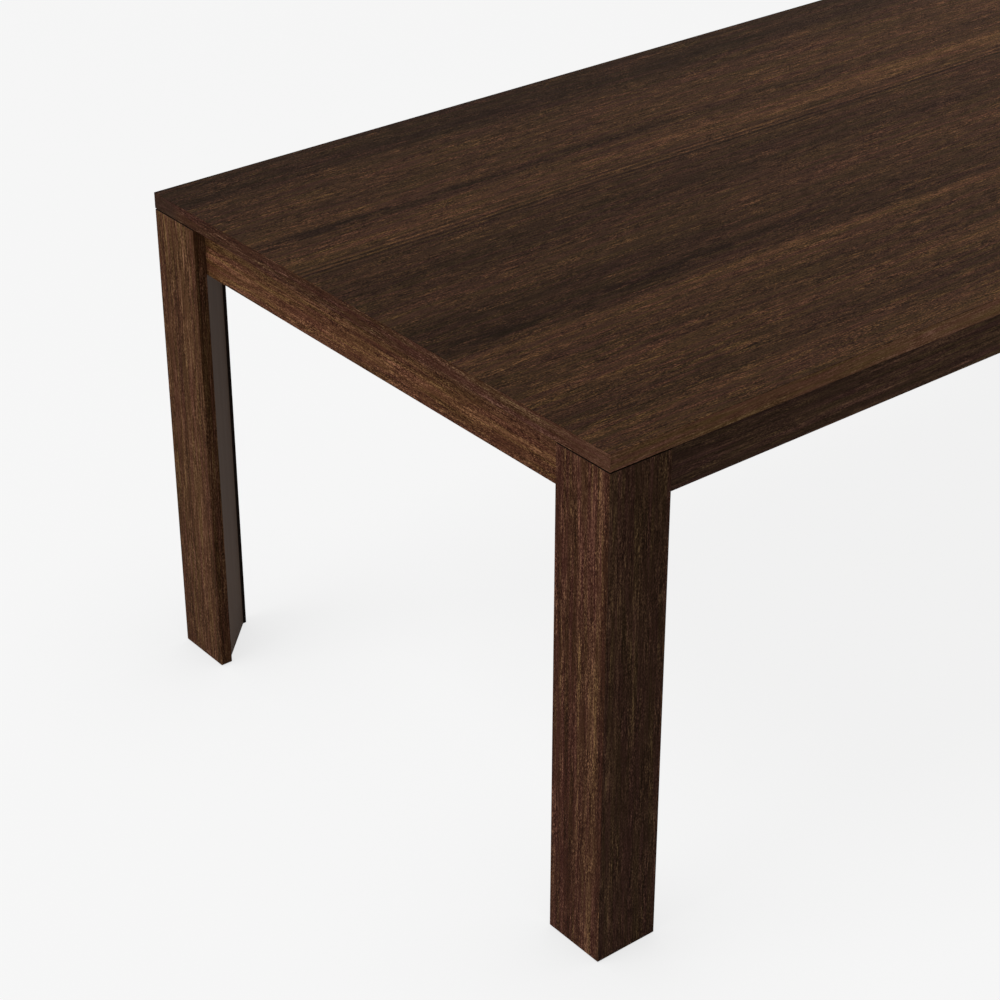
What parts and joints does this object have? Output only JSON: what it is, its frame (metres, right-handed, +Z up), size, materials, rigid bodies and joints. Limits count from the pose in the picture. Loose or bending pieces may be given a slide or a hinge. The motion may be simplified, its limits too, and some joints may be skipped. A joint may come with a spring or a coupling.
{
  "type": "dining table",
  "caption": "Rectangular parsons dining table: flush square corner legs of mitred boards, recessed aprons and a lipped veneered top, on screw-adjustable feet.",
  "frame": {"origin": "on the floor under the middle of the top, with the levelling feet screwed right in", "axes": "+Z up, +X along the table's length, +Y along its width"},
  "size_m": [1.98, 0.992, 0.762],
  "materials": {
    "walnut_face_veneer": "satin lacquer over dark brown stain, grain along the length",
    "walnut_lipping": "satin lacquer over dark brown stain, grain along the edge",
    "walnut_leg_board": "satin lacquer over dark brown stain, grain upright",
    "walnut_apron": "satin lacquer over dark brown stain, grain along the apron",
    "stained_panel": "matt grey-brown stain",
    "backing_veneer": "sealed, unpolished",
    "core_board": "bare board",
    "frame_hardwood": "planed, unfinished",
    "dowel_beech": "turned, unfinished",
    "zinc_steel": "bright zinc plate",
    "black_steel": "black oxide",
    "insert_brass": "bright turned",
    "pad_nylon": "matt black nylon"
  },
  "bodies": {
    "table": {"corner_block_screws": "zinc_steel", "far_left_corner_block": "frame_hardwood", "far_left_leg_back_panel": "stained_panel", "far_left_leg_end_board": "walnut_leg_board", "far_left_leg_foot_block": "frame_hardwood", "far_left_leg_head_block": "frame_hardwood", "far_left_leg_side_board": "walnut_leg_board", "far_right_corner_block": "frame_hardwood", "far_right_leg_back_panel": "stained_panel", "far_right_leg_end_board": "walnut_leg_board", "far_right_leg_foot_block": "frame_hardwood", "far_right_leg_head_block": "frame_hardwood", "far_right_leg_side_board": "walnut_leg_board", "far_side_apron": "walnut_apron", "foot_nuts": "zinc_steel", "frame_dowels": "dowel_beech", "left_cross_rail": "frame_hardwood", "left_end_apron": "walnut_apron", "leg_bolt_inserts": "insert_brass", "leg_bolt_washers": "zinc_steel", "leg_bolts": "black_steel", "near_left_corner_block": "frame_hardwood", "near_left_leg_back_panel": "stained_panel", "near_left_leg_end_board": "walnut_leg_board", "near_left_leg_foot_block": "frame_hardwood", "near_left_leg_head_block": "frame_hardwood", "near_left_leg_side_board": "walnut_leg_board", "near_right_corner_block": "frame_hardwood", "near_right_leg_back_panel": "stained_panel", "near_right_leg_end_board": "walnut_leg_board", "near_right_leg_foot_block": "frame_hardwood", "near_right_leg_head_block": "frame_hardwood", "near_right_leg_side_board": "walnut_leg_board", "near_side_apron": "walnut_apron", "rail_bracket_screws": "zinc_steel", "rail_brackets": "zinc_steel", "right_cross_rail": "frame_hardwood", "right_end_apron": "walnut_apron", "top_backing_veneer": "backing_veneer", "top_bracket_screws": "zinc_steel", "top_brackets": "zinc_steel", "top_core": "core_board", "top_face_veneer": "walnut_face_veneer", "top_far_side_lipping": "walnut_lipping", "top_left_end_lipping": "walnut_lipping", "top_near_side_lipping": "walnut_lipping", "top_right_end_lipping": "walnut_lipping"},
    "near_left_pad": {"near_left_foot_pad": "pad_nylon"},
    "near_left_stem": {"near_left_foot_stem": "zinc_steel"},
    "near_right_pad": {"near_right_foot_pad": "pad_nylon"},
    "near_right_stem": {"near_right_foot_stem": "zinc_steel"},
    "far_left_pad": {"far_left_foot_pad": "pad_nylon"},
    "far_left_stem": {"far_left_foot_stem": "zinc_steel"},
    "far_right_pad": {"far_right_foot_pad": "pad_nylon"},
    "far_right_stem": {"far_right_foot_stem": "zinc_steel"}
  },
  "joints": [
    {"name": "near_left_foot_rise", "type": "slide", "parent": "table", "child": "near_left_pad", "axis": [0, 0, -1], "range_m": [0, 0.012]},
    {"name": "near_left_foot_turn", "type": "hinge", "parent": "near_left_pad", "child": "near_left_stem", "pos_m": [-0.9532, -0.4592, 0.03], "axis": [0, 0, -1], "range_deg": [0, 3456.1]},
    {"name": "near_right_foot_rise", "type": "slide", "parent": "table", "child": "near_right_pad", "axis": [0, 0, -1], "range_m": [0, 0.012]},
    {"name": "near_right_foot_turn", "type": "hinge", "parent": "near_right_pad", "child": "near_right_stem", "pos_m": [0.9532, -0.4592, 0.03], "axis": [0, 0, -1], "range_deg": [0, 3456.1]},
    {"name": "far_left_foot_rise", "type": "slide", "parent": "table", "child": "far_left_pad", "axis": [0, 0, -1], "range_m": [0, 0.012]},
    {"name": "far_left_foot_turn", "type": "hinge", "parent": "far_left_pad", "child": "far_left_stem", "pos_m": [-0.9532, 0.4592, 0.03], "axis": [0, 0, -1], "range_deg": [0, 3456.1]},
    {"name": "far_right_foot_rise", "type": "slide", "parent": "table", "child": "far_right_pad", "axis": [0, 0, -1], "range_m": [0, 0.012]},
    {"name": "far_right_foot_turn", "type": "hinge", "parent": "far_right_pad", "child": "far_right_stem", "pos_m": [0.9532, 0.4592, 0.03], "axis": [0, 0, -1], "range_deg": [0, 3456.1]}
  ],
  "couplings": [
    {"joint": "near_left_foot_turn", "follows": "near_left_foot_rise", "rad_per_m": 5026.5},
    {"joint": "near_right_foot_turn", "follows": "near_right_foot_rise", "rad_per_m": 5026.5},
    {"joint": "far_left_foot_turn", "follows": "far_left_foot_rise", "rad_per_m": 5026.5},
    {"joint": "far_right_foot_turn", "follows": "far_right_foot_rise", "rad_per_m": 5026.5}
  ]
}
